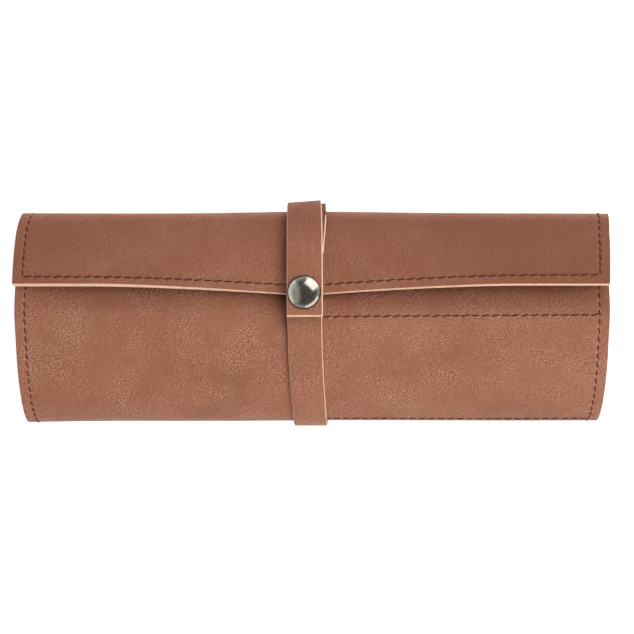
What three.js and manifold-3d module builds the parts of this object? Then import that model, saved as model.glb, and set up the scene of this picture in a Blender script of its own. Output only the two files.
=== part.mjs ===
// Watch strap roll: a soft leather case, rolled shut and held by a leather strap with a snap.
// It lies on its back on its strap. X runs along the roll, Y from the bottom fold to the top bend,
// and Z up through the snap. Sizes are in millimetres, angles in degrees.
import * as THREE from 'three';
import { mergeVertices } from 'three/addons/utils/BufferGeometryUtils.js';
import ManifoldModule from 'manifold-3d';

const wasm = await ManifoldModule();
wasm.setup();

// Sheet goods and the closed roll's main sizes
const ROLL_LENGTH = 250;
const ROLL_DEPTH = 89.7;
const LEATHER = 1.2;
const LINING = 0.8;
const GLUE_LINE = 0.2;
const LAP_GAP = 0.3;
const HINGE_GAP = 0.4;

// Section of the closed roll, measured on the outer face of the leather
const BACK_TOP_Y = 22;
const BACK_BOTTOM_Y = -24;
const TOP_BEND_HEIGHT = 23;
const BOTTOM_BEND_HEIGHT = 7.5;
const FRONT_RISE = 27.3;
const FRONT_APEX_Y = 6;
const FRONT_TUCK = 14;
const FRONT_TUCK_DROP = 2.3;
const FLAP_APEX_Y = 16.4;
const FLAP_EDGE_Y = 9.8;
const FLAP_HINGE_DEG = 45;
const FOLD_DEG = 8;

// Strap
const STRAP_WIDTH = 15;
const STRAP_THICKNESS = 1.2;
const STRAP_CENTRE_X = -3.2;
const STRAP_END_Y = 0;
const STRAP_TAIL_TIP_Y = 17;
const STRAP_HINGE_DEG = 35;
const STRAP_TOP_SLACK = 3.3;
const STRAP_BOTTOM_SLACK = 2.4;
const STRAP_REST_GAP = 0.3;
const BACKING_END_Y = 27;
const BACKING_LOWER_DEG = -20;

// Snap, stacked from the post under the strap tail up to the cap
const SNAP_Y = 10.2;
const CAP_RADIUS = 7;
const CAP_RIM = 0.8;
const CAP_DOME = 2.2;
const SHANK_RADIUS = 1.5;
const SHANK_FIT = 0.3;
const FLANGE_RADIUS = 4.5;
const FLANGE_THICKNESS = 0.4;
const STUD_RADIUS = 2.4;
const STUD_HEIGHT = 0.8;
const STUD_CLEARANCE = 1.1;
const SOCKET_RADIUS = 5.5;
const SOCKET_HEIGHT = 1.8;
const SOCKET_ROOF = 0.5;
const SPRING_WIRE = 0.5;
const SPRING_FIT = 0.15;
const PLATE_GAP = 0.1;

// Seams, each a raised line of thread
const SEAM_INSET = 3.6;
const SEAM_WIDTH = 0.8;
const SEAM_HEIGHT = 0.3;
const SEAM_GAP = 0.1;
const SEAM_END_GAP = 0.4;
const SEAM_HINGE_GAP = 2;
const POCKET_SEAM_Y = 0.9;
const POCKET_FOOT_DEG = 5;

// Inside: a sewn panel of strap slots on the back and a tool pocket behind the right half of the front
const SLOT_COUNT = 6;
const SLOT_PANEL = 1;
const SLOT_END_MARGIN = 5;
const SLOT_EDGE_MARGIN = 2;
const POCKET_PANEL = 0.8;
const POCKET_SIDE_MARGIN = 2;

// Curves and turned parts
const ARC_STEP_DEG = 5;
const TURNED_SEGMENTS = 40;
const WIRE_STEP_DEG = 45;
const SAME_POINT = 1e-6;

// Heights of the layers, built up from the table
const seamStand = SEAM_GAP + SEAM_HEIGHT;
const backZ = STRAP_THICKNESS + STRAP_REST_GAP;
const topZ = backZ + TOP_BEND_HEIGHT;
const bottomZ = backZ + BOTTOM_BEND_HEIGHT;
const frontZ = bottomZ + FRONT_RISE;
const liningDepth = LEATHER + GLUE_LINE;
const liningInside = liningDepth + LINING;
const flapZ = frontZ + seamStand + LAP_GAP + liningInside;
const postZ = flapZ + seamStand + PLATE_GAP;
const tailZ = postZ + FLANGE_THICKNESS + PLATE_GAP;
const studZ = tailZ + STRAP_THICKNESS + PLATE_GAP;
const socketZ = studZ + FLANGE_THICKNESS + PLATE_GAP;
const strapEndZ = socketZ + SOCKET_HEIGHT + PLATE_GAP;
const capZ = strapEndZ + STRAP_THICKNESS + PLATE_GAP;

// The footprint, strap included, is centred on the origin
const topY = (ROLL_DEPTH + STRAP_BOTTOM_SLACK - STRAP_TOP_SLACK) / 2;
const bottomY = topY - ROLL_DEPTH;
const halfLength = ROLL_LENGTH / 2;
const seamX = halfLength - SEAM_INSET;
const strapLeft = STRAP_CENTRE_X - STRAP_WIDTH / 2;
const strapRight = STRAP_CENTRE_X + STRAP_WIDTH / 2;

// Finishes
const coverLeather = new THREE.MeshStandardMaterial({ color: 0xa26c57, roughness: 0.55 });
const strapLeather = new THREE.MeshStandardMaterial({ color: 0x9c6650, roughness: 0.5 });
const suedeLining = new THREE.MeshStandardMaterial({ color: 0xb08a6c, roughness: 0.9 });
const brownThread = new THREE.MeshStandardMaterial({ color: 0x5e2f22, roughness: 0.7 });
const darkNickel = new THREE.MeshStandardMaterial({ color: 0x4a4b50, roughness: 0.2, metalness: 1 });

const radians = THREE.MathUtils.degToRad;

// An ellipse of the section: points run along it from one angle to another.
class Bend {
  constructor(centreY, centreZ, halfWidth, halfHeight) {
    Object.assign(this, { centreY, centreZ, halfWidth, halfHeight });
  }

  at(deg) {
    const y = this.centreY + this.halfWidth * Math.cos(radians(deg));
    const z = this.centreZ + this.halfHeight * Math.sin(radians(deg));
    return new THREE.Vector2(y, z);
  }

  run(fromDeg, toDeg, stepDeg = ARC_STEP_DEG) {
    const steps = Math.max(1, Math.round(Math.abs(toDeg - fromDeg) / stepDeg));
    return Array.from({ length: steps + 1 }, (_, i) => this.at(fromDeg + ((toDeg - fromDeg) * i) / steps));
  }

  // The angle, on the upper half, of the point at a given y
  degAtY(y) {
    return THREE.MathUtils.radToDeg(Math.acos((y - this.centreY) / this.halfWidth));
  }

  // The angle that a short length takes up at a point of the bend
  degFor(length, deg) {
    const across = this.halfWidth * Math.sin(radians(deg));
    const upwards = this.halfHeight * Math.cos(radians(deg));
    return THREE.MathUtils.radToDeg(length / Math.hypot(across, upwards));
  }
}

// Joins stretches of a path, leaving out points that repeat.
function joined(...stretches) {
  const points = stretches.flat();
  return points.filter((point, i) => i === 0 || point.distanceTo(points[i - 1]) > SAME_POINT);
}

// Moves a path sideways, to the right of its run, with mitred corners. Paths run clockwise round
// the section, from the flap over the top bend and the back to the front, so right is inwards.
function shifted(path, distance) {
  const normals = path.slice(1).map((point, i) => {
    const along = point.clone().sub(path[i]).normalize();
    return new THREE.Vector2(along.y, -along.x);
  });
  return path.map((point, i) => {
    const before = normals[Math.max(0, i - 1)];
    const after = normals[Math.min(normals.length - 1, i)];
    const mitre = before.clone().add(after);
    return point.clone().addScaledVector(mitre, (2 * distance) / mitre.lengthSq());
  });
}

const sectionToWorld = new THREE.Matrix4().makeBasis(
  new THREE.Vector3(0, 1, 0),
  new THREE.Vector3(0, 0, 1),
  new THREE.Vector3(1, 0, 0),
);

// A ply: the band between two depths below a path, swept along X.
function ply(path, fromDepth, toDepth, fromX, toX) {
  const outline = [...shifted(path, fromDepth), ...shifted(path, toDepth).reverse()];
  const geometry = new THREE.ExtrudeGeometry(new THREE.Shape(outline), {
    depth: toX - fromX,
    bevelEnabled: false,
  });
  geometry.applyMatrix4(sectionToWorld);
  return geometry.translate(fromX, 0, 0);
}

function fullWidthPly(path, fromDepth, toDepth) {
  return ply(path, fromDepth, toDepth, -halfLength, halfLength);
}

function strapPly(path, fromDepth, toDepth) {
  return ply(path, fromDepth, toDepth, strapLeft, strapRight);
}

// A seam that follows a path at one x, standing just above the leather
function seamRound(path, x) {
  return ply(path, -SEAM_GAP, -seamStand, x - SEAM_WIDTH / 2, x + SEAM_WIDTH / 2);
}

// A seam along X, over a short piece of path
function seamAcross(path, fromX, toX) {
  return ply(path, -SEAM_GAP, -seamStand, fromX, toX);
}

// A turned part on the snap's axis, from [radius, z] points of its half section
function turned(profile) {
  const points = profile.map(([radius, z]) => new THREE.Vector2(radius, z));
  const geometry = new THREE.LatheGeometry(points, TURNED_SEGMENTS);
  geometry.rotateX(Math.PI / 2);
  return geometry.translate(STRAP_CENTRE_X, SNAP_Y, 0);
}

function toSolid(geometry) {
  const bare = geometry.clone();
  bare.deleteAttribute('normal');
  bare.deleteAttribute('uv');
  const merged = mergeVertices(bare);
  return new wasm.Manifold(
    new wasm.Mesh({
      numProp: 3,
      vertProperties: new Float32Array(merged.attributes.position.array),
      triVerts: new Uint32Array(merged.index.array),
    }),
  );
}

function toGeometry(solid) {
  const mesh = solid.getMesh();
  const geometry = new THREE.BufferGeometry();
  geometry.setAttribute('position', new THREE.BufferAttribute(mesh.vertProperties, 3));
  geometry.setIndex(new THREE.BufferAttribute(mesh.triVerts, 1));
  return geometry;
}

// Punches the hole for a snap shank through a strap ply.
function punched(geometry, fromZ) {
  const radius = SHANK_RADIUS + SHANK_FIT;
  const punch = new THREE.CylinderGeometry(radius, radius, 3 * STRAP_THICKNESS, TURNED_SEGMENTS);
  punch.rotateX(Math.PI / 2);
  punch.translate(STRAP_CENTRE_X, SNAP_Y, fromZ + STRAP_THICKNESS / 2);
  return toGeometry(toSolid(geometry).subtract(toSolid(punch)));
}

function add(group, name, geometry, material) {
  const mesh = new THREE.Mesh(geometry, material);
  mesh.name = name;
  group.add(mesh);
}

// Bends of the leather
const flapBend = new Bend(FLAP_APEX_Y, topZ, topY - FLAP_APEX_Y, flapZ - topZ);
const topBend = new Bend(BACK_TOP_Y, topZ, topY - BACK_TOP_Y, topZ - backZ);
const bottomBend = new Bend(BACK_BOTTOM_Y, bottomZ, BACK_BOTTOM_Y - bottomY, bottomZ - backZ);
const frontBend = new Bend(FRONT_APEX_Y, bottomZ, FRONT_APEX_Y - bottomY, frontZ - bottomZ);
const tuckRadius = (FRONT_TUCK ** 2 + FRONT_TUCK_DROP ** 2) / (2 * FRONT_TUCK_DROP);
const tuckBend = new Bend(FRONT_APEX_Y, frontZ - tuckRadius, tuckRadius, tuckRadius);
const tuckDeg = tuckBend.degAtY(FRONT_APEX_Y + FRONT_TUCK);

// Bends of the strap's inner face
const strapEndBend = new Bend(
  FLAP_APEX_Y, topZ, topY + STRAP_TOP_SLACK - FLAP_APEX_Y, strapEndZ - topZ,
);
const strapTopBend = new Bend(
  BACK_TOP_Y, topZ, topY + STRAP_TOP_SLACK - BACK_TOP_Y, topZ - STRAP_THICKNESS,
);
const strapBottomBend = new Bend(
  BACK_BOTTOM_Y, bottomZ, BACK_BOTTOM_Y - bottomY + STRAP_BOTTOM_SLACK, bottomZ - STRAP_THICKNESS,
);
const strapFrontBend = new Bend(
  FRONT_APEX_Y, bottomZ, FRONT_APEX_Y - bottomY + STRAP_BOTTOM_SLACK, tailZ - bottomZ,
);

// Paths of the leather: each stops a given length short of the hinge lines at its ends
const foldDeg = 180 - FOLD_DEG;

function flapPath(edgeY, short) {
  const hingeDeg = FLAP_HINGE_DEG + flapBend.degFor(short, FLAP_HINGE_DEG);
  return joined([new THREE.Vector2(edgeY, flapZ)], flapBend.run(90, hingeDeg));
}

function bodyPath(short) {
  return joined(
    flapBend.run(FLAP_HINGE_DEG - flapBend.degFor(short, FLAP_HINGE_DEG), 0),
    topBend.run(0, -90),
    bottomBend.run(-90, -180),
    frontBend.run(180, foldDeg + frontBend.degFor(short, foldDeg)),
  );
}

function frontPath(short) {
  return joined(
    frontBend.run(foldDeg - frontBend.degFor(short, foldDeg), 90),
    tuckBend.run(90, tuckDeg),
  );
}

// Paths of the strap's inner face
const strapGap = strapEndBend.degFor(HINGE_GAP / 2, STRAP_HINGE_DEG);
const strapFoldGap = strapFrontBend.degFor(HINGE_GAP / 2, foldDeg);
const strapEndPath = joined(
  [new THREE.Vector2(STRAP_END_Y, strapEndZ)],
  strapEndBend.run(90, STRAP_HINGE_DEG + strapGap),
);
const strapBandPath = joined(
  strapEndBend.run(STRAP_HINGE_DEG - strapGap, 0),
  strapTopBend.run(0, -90),
  strapBottomBend.run(-90, -180),
  strapFrontBend.run(180, foldDeg + strapFoldGap),
);
const strapTailPath = joined(
  strapFrontBend.run(foldDeg - strapFoldGap, 90),
  [new THREE.Vector2(STRAP_TAIL_TIP_Y, tailZ)],
);
const backingEndPath = strapEndBend.run(strapEndBend.degAtY(BACKING_END_Y), STRAP_HINGE_DEG + strapGap);
const backingBandPath = joined(
  strapEndBend.run(STRAP_HINGE_DEG - strapGap, 0),
  strapTopBend.run(0, BACKING_LOWER_DEG),
);

function rollBody() {
  const roll = new THREE.Group();
  const path = bodyPath(HINGE_GAP / 2);
  add(roll, 'cover_body', fullWidthPly(path, 0, LEATHER), coverLeather);
  add(roll, 'lining_body', fullWidthPly(path, liningDepth, liningInside), suedeLining);
  const seamPath = bodyPath(SEAM_HINGE_GAP);
  add(roll, 'seam_body_left', seamRound(seamPath, -seamX), brownThread);
  add(roll, 'seam_body_right', seamRound(seamPath, seamX), brownThread);
  add(roll, 'strap_band', strapPly(strapBandPath, 0, -STRAP_THICKNESS), strapLeather);
  const backingDepth = GLUE_LINE + STRAP_THICKNESS;
  add(roll, 'strap_backing_band', strapPly(backingBandPath, GLUE_LINE, backingDepth), strapLeather);

  // The slot panel lies flat on the back's lining, sewn down in lines that part the slots
  const panelHalf = halfLength - SLOT_END_MARGIN;
  const panelPath = [
    new THREE.Vector2(BACK_TOP_Y - SLOT_EDGE_MARGIN, backZ),
    new THREE.Vector2(BACK_BOTTOM_Y + SLOT_EDGE_MARGIN, backZ),
  ];
  const panelDepth = liningInside + GLUE_LINE;
  const panelTop = panelDepth + SLOT_PANEL;
  add(roll, 'slot_panel', ply(panelPath, panelDepth, panelTop, -panelHalf, panelHalf), suedeLining);
  const slotSpan = (2 * (panelHalf - SEAM_INSET)) / SLOT_COUNT;
  for (let i = 0; i <= SLOT_COUNT; i += 1) {
    const x = -panelHalf + SEAM_INSET + i * slotSpan;
    const left = x - SEAM_WIDTH / 2;
    const seam = ply(panelPath, panelTop + SEAM_GAP, panelTop + seamStand, left, left + SEAM_WIDTH);
    add(roll, `slot_seam_${i + 1}`, seam, brownThread);
  }
  return roll;
}

function flapBody() {
  const flap = new THREE.Group();
  const path = flapPath(FLAP_EDGE_Y, HINGE_GAP / 2);
  add(flap, 'cover_flap', fullWidthPly(path, 0, LEATHER), coverLeather);
  add(flap, 'lining_flap', fullWidthPly(path, liningDepth, liningInside), suedeLining);
  const edgeSeamY = FLAP_EDGE_Y + SEAM_INSET;
  const sidePath = flapPath(edgeSeamY - SEAM_WIDTH / 2, SEAM_HINGE_GAP);
  add(flap, 'seam_flap_left', seamRound(sidePath, -seamX), brownThread);
  add(flap, 'seam_flap_right', seamRound(sidePath, seamX), brownThread);
  const edgePath = [
    new THREE.Vector2(edgeSeamY - SEAM_WIDTH / 2, flapZ),
    new THREE.Vector2(edgeSeamY + SEAM_WIDTH / 2, flapZ),
  ];
  const reach = seamX - SEAM_WIDTH / 2 - SEAM_END_GAP;
  add(flap, 'seam_flap_edge', seamAcross(edgePath, -reach, reach), brownThread);
  return flap;
}

function frontBody() {
  const front = new THREE.Group();
  const path = frontPath(HINGE_GAP / 2);
  add(front, 'cover_front', fullWidthPly(path, 0, LEATHER), coverLeather);
  add(front, 'lining_front', fullWidthPly(path, liningDepth, liningInside), suedeLining);
  const seamPath = frontPath(SEAM_HINGE_GAP);
  add(front, 'seam_front_left', seamRound(seamPath, -seamX), brownThread);
  add(front, 'seam_front_right', seamRound(seamPath, seamX), brownThread);

  // The tool pocket is sewn behind the right half, along its mouth and its foot
  const mouthDeg = frontBend.degAtY(POCKET_SEAM_Y);
  const footDeg = foldDeg - POCKET_FOOT_DEG;
  const pocketPath = frontBend.run(footDeg, mouthDeg);
  const pocketDepth = liningInside + GLUE_LINE;
  const pocketInside = pocketDepth + POCKET_PANEL;
  const pocketEnd = halfLength - POCKET_SIDE_MARGIN;
  const pocket = ply(pocketPath, pocketDepth, pocketInside, strapRight, pocketEnd);
  add(front, 'tool_pocket', pocket, suedeLining);
  const seamStart = strapRight + SEAM_END_GAP;
  const seamStop = seamX - SEAM_WIDTH / 2 - SEAM_END_GAP;
  const mouthPath = [
    frontBend.at(frontBend.degAtY(POCKET_SEAM_Y - SEAM_WIDTH / 2)),
    frontBend.at(frontBend.degAtY(POCKET_SEAM_Y + SEAM_WIDTH / 2)),
  ];
  add(front, 'seam_pocket_mouth', seamAcross(mouthPath, seamStart, seamStop), brownThread);
  const footWidthDeg = frontBend.degFor(SEAM_WIDTH / 2, footDeg);
  const footPath = [frontBend.at(footDeg + footWidthDeg), frontBend.at(footDeg - footWidthDeg)];
  add(front, 'seam_pocket_foot', seamAcross(footPath, seamStart, seamStop), brownThread);
  return front;
}

function strapTailBody() {
  const tail = new THREE.Group();
  const leather = strapPly(strapTailPath, 0, -STRAP_THICKNESS);
  add(tail, 'strap_tail', punched(leather, tailZ), strapLeather);
  const shankTop = studZ + FLANGE_THICKNESS;
  const post = turned([
    [0, postZ],
    [FLANGE_RADIUS, postZ],
    [FLANGE_RADIUS, postZ + FLANGE_THICKNESS],
    [SHANK_RADIUS, postZ + FLANGE_THICKNESS],
    [SHANK_RADIUS, shankTop],
    [0, shankTop],
  ]);
  add(tail, 'snap_post', post, darkNickel);
  const boreRadius = SHANK_RADIUS + SHANK_FIT;
  const headZ = studZ + FLANGE_THICKNESS + STUD_HEIGHT;
  const boreZ = shankTop + PLATE_GAP;
  const stud = turned([
    [0, boreZ],
    [boreRadius, boreZ],
    [boreRadius, studZ],
    [FLANGE_RADIUS, studZ],
    [FLANGE_RADIUS, studZ + FLANGE_THICKNESS],
    [STUD_RADIUS, studZ + FLANGE_THICKNESS],
    [STUD_RADIUS, headZ],
    [0, headZ],
  ]);
  add(tail, 'snap_stud', stud, darkNickel);
  return tail;
}

function strapEndBody() {
  const end = new THREE.Group();
  const leather = strapPly(strapEndPath, 0, -STRAP_THICKNESS);
  add(end, 'strap_end', punched(leather, strapEndZ), strapLeather);
  const backingDepth = GLUE_LINE + STRAP_THICKNESS;
  add(end, 'strap_backing_end', strapPly(backingEndPath, GLUE_LINE, backingDepth), strapLeather);

  // The cap's shank passes through the leather and the socket's roof
  const roofZ = socketZ + SOCKET_HEIGHT - SOCKET_ROOF;
  const domeZ = capZ + CAP_RIM;
  const dome = new Bend(0, domeZ, CAP_RADIUS, CAP_DOME);
  const cap = turned([
    [0, roofZ],
    [SHANK_RADIUS, roofZ],
    [SHANK_RADIUS, capZ],
    [CAP_RADIUS, capZ],
    ...dome.run(0, 85).map((point) => point.toArray()),
    [0, domeZ + CAP_DOME],
  ]);
  add(end, 'snap_cap', cap, darkNickel);

  // The socket is a ring round the stud, with a groove for the wire spring
  const mouth = STUD_RADIUS + STUD_CLEARANCE;
  const groove = mouth + SPRING_WIRE + 2 * SPRING_FIT;
  const grooveFrom = socketZ + FLANGE_THICKNESS;
  const grooveTo = grooveFrom + SPRING_WIRE + 2 * SPRING_FIT;
  const shankHole = SHANK_RADIUS + SHANK_FIT;
  const socketTop = socketZ + SOCKET_HEIGHT;
  const socket = turned([
    [mouth, socketZ],
    [SOCKET_RADIUS, socketZ],
    [SOCKET_RADIUS, socketTop],
    [shankHole, socketTop],
    [shankHole, Math.max(roofZ, grooveTo)],
    [groove, Math.max(roofZ, grooveTo)],
    [groove, grooveFrom],
    [mouth, grooveFrom],
    [mouth, socketZ],
  ]);
  add(end, 'snap_socket', socket, darkNickel);
  const wireRadius = SPRING_WIRE / 2;
  const wire = new Bend(mouth + SPRING_FIT + wireRadius, (grooveFrom + grooveTo) / 2, wireRadius, wireRadius);
  const wireSection = wire.run(0, 360, WIRE_STEP_DEG).map((point) => point.toArray());
  add(end, 'snap_spring', turned(wireSection), darkNickel);
  return end;
}

const strapRoll = new THREE.Group();
strapRoll.add(rollBody(), flapBody(), frontBody(), strapTailBody(), strapEndBody());

export default strapRoll;
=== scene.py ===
"""Looks of a leather watch strap roll, closed by a flap and a snap strap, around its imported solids.

The leather, the lining and the strap are closed sheets worked out from flat coordinates: x along the
roll and d, the distance along the section's outer path from the flap's edge. All sizes here are in
millimetres, and meshes are written in metres.
"""
import math

import bmesh
import bpy
import numpy as np
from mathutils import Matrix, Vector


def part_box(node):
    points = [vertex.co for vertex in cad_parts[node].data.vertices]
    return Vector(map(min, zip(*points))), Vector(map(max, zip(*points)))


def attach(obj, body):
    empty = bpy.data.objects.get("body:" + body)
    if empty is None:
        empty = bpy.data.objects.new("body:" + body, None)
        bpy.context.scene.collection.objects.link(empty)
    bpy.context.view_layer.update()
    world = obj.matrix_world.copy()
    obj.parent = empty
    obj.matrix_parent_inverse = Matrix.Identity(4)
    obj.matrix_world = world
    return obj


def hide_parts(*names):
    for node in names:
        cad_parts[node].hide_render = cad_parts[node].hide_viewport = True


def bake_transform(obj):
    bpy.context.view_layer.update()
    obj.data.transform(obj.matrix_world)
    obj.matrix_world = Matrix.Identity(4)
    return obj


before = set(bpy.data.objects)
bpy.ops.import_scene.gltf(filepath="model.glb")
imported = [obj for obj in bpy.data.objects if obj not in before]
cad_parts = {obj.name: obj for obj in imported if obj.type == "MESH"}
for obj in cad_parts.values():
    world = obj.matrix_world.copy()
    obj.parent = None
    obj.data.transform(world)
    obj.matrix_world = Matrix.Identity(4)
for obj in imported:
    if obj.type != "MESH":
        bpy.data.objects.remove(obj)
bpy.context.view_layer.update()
MM = 0.001

# Section of the closed roll, as the solids have it, and the places of its seams
LEATHER = 1.2
LINING = 0.8
GLUE_LINE = 0.2
BACK_TOP_Y = 22
BACK_BOTTOM_Y = -24
TOP_BEND_HEIGHT = 23
BOTTOM_BEND_HEIGHT = 7.5
FLAP_APEX_Y = 16.4
FRONT_APEX_Y = 6
FRONT_TUCK = 14
FRONT_TUCK_DROP = 2.3
EDGE_SEAM_LEFT = 4.3
EDGE_SEAM_MIDDLE = 4.0
EDGE_SEAM_RIGHT = 4.9
SIDE_SEAM_INSET = 4.4
POCKET_SEAM_Y = 0.9
POCKET_SEAM_TILT = 0.8
BACK_SPLIT_Y = -1

# Soft form of the flap and the roll, read from the photograph
SHEET_SKEWS = (-0.35, 0.4, 1.7, 0.9, 0.3, 0.15, 0.2)
BEND_SPAN = 26
SWELL = 0.16
SWELL_WAVES = (19, 15)
SWELL_PHASES = (0.6, 0.4)
DRIFT_SHARE = 0.6
DRIFT_WAVES = (31, 22)
DRIFT_PHASE = 2.1
FLAP_FORWARD = 0.5
EDGE_DRAW_LEFT = 3.5
EDGE_DRAW_RIGHT = 3.8
EDGE_DRAW_SPAN = 82
EDGE_DRAW_POWER = 1.6
FLAP_REACH = 26
FLAP_LIFT = 1.6
CREST_RISE = 0.7
CREST_SPAN = 38
FOOT_BOW_LEFT = 0.9
FOOT_BOW_RIGHT = 0.2
FOOT_TAPER = 0.006
FRONT_FLARE = 0.0024
FRONT_FLARE_SPAN = 12
EDGE_CORNER = 0.7
EDGE_CORNER_SPAN = 1.6
FRONT_DIP_LEFT = 1.8
FRONT_DIP_RIGHT = 2.15
FRONT_DIP_TURN = 30
FRONT_DIP_BEND = 3
FRONT_DIP_FADE = 36
FRONT_DIP_Y = 2.5
FRONT_DIP_EASE = 22
FRONT_DIP_LOSS = 0.6
EDGE_BEVEL_LEFT = 1.15
EDGE_BEVEL_PRESSED = 0.5
EDGE_BEVEL_RIGHT = 0.85
EDGE_BEVEL_SPAN = 80
SIDE_BEVEL = 0.15
BEVEL_REACH = 2

# Strap, and the second ply under its crown
STRAP_WIDTH = 15
STRAP_COLUMNS = 9
STRAP_COLUMN_INSET = 1
STRAP_ROW_STEP = 0.9
STRAP_BEVEL_LEFT = 0.3
STRAP_BEVEL_RIGHT = 0.5
STRAP_BEVEL_RIGHT_LOW = 0.36
STRAP_BEVEL_TIP = 0.8
STRAP_BEVEL_FADE = 3
STRAP_SHIFTS = (0.35, 0.2, 1.6, 2.9, 0.55, -0.1)
STRAP_SHIFT_SETTLED = 35
STRAP_CROWN_SPAN = 16
STRAP_CROWN_NARROW = 0.05
STRAP_TWIST = 1.1
STRAP_FOOT_SPAN = 14
STRAP_FOOT_DRAW = 1.3
STRAP_WAVE = 0.15
STRAP_WAVE_LENGTH = 5.5
STRAP_FREE_START = 22
STRAP_FREE_START_EASE = 15
STRAP_FREE_STOP_Y = 20
STRAP_FREE_STOP_EASE = 20
STRAP_HUG = 2.5
STRAP_HUG_EASE = 24
STRAP_STEP_Y = -10
STRAP_STEP_END_Y = 4
STRAP_FRONT_NARROW = 0.03
STRAP_FRONT_NARROW_EASE = 15
BACKING_SHIFT = 1.4
BACKING_OFFSET = 0.3
BACKING_PARTING = 16
BACKING_BEVEL = 0.5
BACKING_END_Y = 27
BACKING_LOW_INSET = 1
BACKING_LOW_DROP = 8
BACKING_DARK_Y = 44
BACKING_DARK_Z = 34

# Grain and tone of the leather, with its painted shade, painted shadows and painted highlights
WRINKLE_STEP = 1.0
WRINKLE_RUN = 3.0
WRINKLE_SLANT = -32
SPECKLE_SCALE = 1500
# Share of the grain, with its painted highlights and pore shade, left on the flap and on the strap's crown
MUTED_GRAIN_AND_HIGHLIGHTS_SHARE = 0.7
TONE_FADE = 8
TONE_SPAN = 60
# Painted shade on the flap up to its top bend, from its left end to its right end
FLAP_PAINTED_SHADE_LEFT = 0.57
FLAP_PAINTED_SHADE_RIGHT = 0.82
FLAP_PAINTED_SHADE_END = 39
# Painted highlights that lift the flap's painted shade near its edge and by the snap
PAINTED_HIGHLIGHT_REACH = 34
PAINTED_HIGHLIGHT_EDGE = 0.12
PAINTED_HIGHLIGHT_BY_SNAP = 0.75
PAINTED_HIGHLIGHT_BY_SNAP_SPAN = 52
# Painted shadow on the front where the flap covers it, more to the right
COVERED_PAINTED_SHADOW_LEFT = 0.08
COVERED_PAINTED_SHADOW_RIGHT = 0.38
PAINTED_SHADOW_SPAN = 8.5
PAINTED_SHADOW_PAST_MOUTH = 3.5
END_TONE = 0.12
END_TONE_START = 35
END_TONE_SPAN = 40
# Painted shade along the strap's upper run, least at its tip
STRAP_PAINTED_SHADE_PLACES = (0, 20, 31, 38)
STRAP_PAINTED_SHADES = (0.03, 0.28, 0.40, 0.6)
STRAP_PAINTED_SHADE_PAST_CROWN = 14
# Painted shadow on the strap's tail under the tip of its end
STRAP_TIP_PAINTED_SHADOW = 0.55
STRAP_TIP_PAINTED_SHADOW_SPAN = 8.5

# Sewing
EDGE_PITCH = 4.2
SIDE_PITCH = 3.7
SLOT_PITCH = 3.6
EDGE_SHARE = 0.96
SIDE_SHARE = 0.78
SLOT_SHARE = 0.86
SIDE_SEAM_STOP = 2
SLOT_SEAM_INSET = 1
STITCH_RINGS = 9
STITCH_SIDES = 8
STITCH_RADIUS = 0.24
STITCH_WIDE = 1.15
STITCH_LOW = 0.8
STITCH_THINNING = 0.5
STITCH_RISE = 0.2
STITCH_DIVE = 0.55
STITCH_SLANT = 0.24
STITCH_VARY_TURN = 2.4
STITCH_VARY_LENGTH = 0.06
STITCH_VARY_SLANT = 0.5
GROOVE_DEPTH = 0.26
GROOVE_WIDTH = 0.8
GROOVE_HOLES = 0.3
# Painted highlights beside the seams, where the thread pulls the leather up
PULL_HIGHLIGHT_OFFSET = 0.7
PULL_HIGHLIGHT_WIDTH = 0.38
PULL_HIGHLIGHT_LEAN = 0.8

# Snap: what its solids' boxes don't say
CAP_GAP = 0.1
CAP_RIM = 0.6
CAP_RIM_WIDTH = 0.42
SHANK_RADIUS = 1.5
SOCKET_MOUTH = 3.5
SOCKET_EDGE_WIDTH = 0.6
SOCKET_EDGE_HEIGHT = 0.5
SOCKET_EASE = 0.1
SOCKET_HOLE = 1.8
SOCKET_ROOM = 4.25
SOCKET_ROOM_LOW = 0.42
SOCKET_ROOM_HIGH = 1.25
STUD_HOLE = 1.8
STUD_HOLE_DEPTH = 0.5
STUD_FLANGE = 0.4
STUD_NECK = 2.2
STUD_HEAD = 2.4
STUD_TOP = 2.0
STUD_TOP_EASE = 0.3
POST_EDGE = 0.2
POST_FLANGE = 0.4

# Camera: straight above, its axis a little to the right of the roll's middle
CAMERA_X = 2.2
CAMERA_Y = 0.0
CAMERA_ABOVE_FLAP = 620
FRAME_WIDTH_AT_FLAP = 265.1
SENSOR = 36.0

# Stage
FLOOR_HALF = 6000
FLOOR_GLOW = 0.88
WALL_LEVEL = 1.0
WALL_TOP = 0.15
CEILING_LEVEL = 0.16
CEILING_START = 0.60


def box_mm(node):
    low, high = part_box(node)
    return np.array(low) / MM, np.array(high) / MM


body_low, body_high = box_mm("cover_body")
flap_low, flap_high = box_mm("cover_flap")
front_high = box_mm("cover_front")[1]
strap_low, strap_high = box_mm("strap_band")
end_low, end_high = box_mm("strap_end")
tail_high = box_mm("strap_tail")[1]
cap_low, cap_high = box_mm("snap_cap")

HALF_LENGTH = body_high[0]
TOP_Y = body_high[1]
BOTTOM_Y = body_low[1]
BACK_Z = body_low[2]
TOP_Z = BACK_Z + TOP_BEND_HEIGHT
BOTTOM_Z = BACK_Z + BOTTOM_BEND_HEIGHT
FLAP_Z = flap_high[2]
FLAP_EDGE_Y = flap_low[1]
FRONT_Z = front_high[2]
SEAM_X = HALF_LENGTH - SIDE_SEAM_INSET
STRAP_X = (strap_low[0] + strap_high[0]) / 2
STRAP_THICKNESS = LEATHER
SNAP_Y = (cap_low[1] + cap_high[1]) / 2
LINING_DEPTH = LEATHER + GLUE_LINE
LINING_INSIDE = LINING_DEPTH + LINING


# Paths of the section

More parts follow.
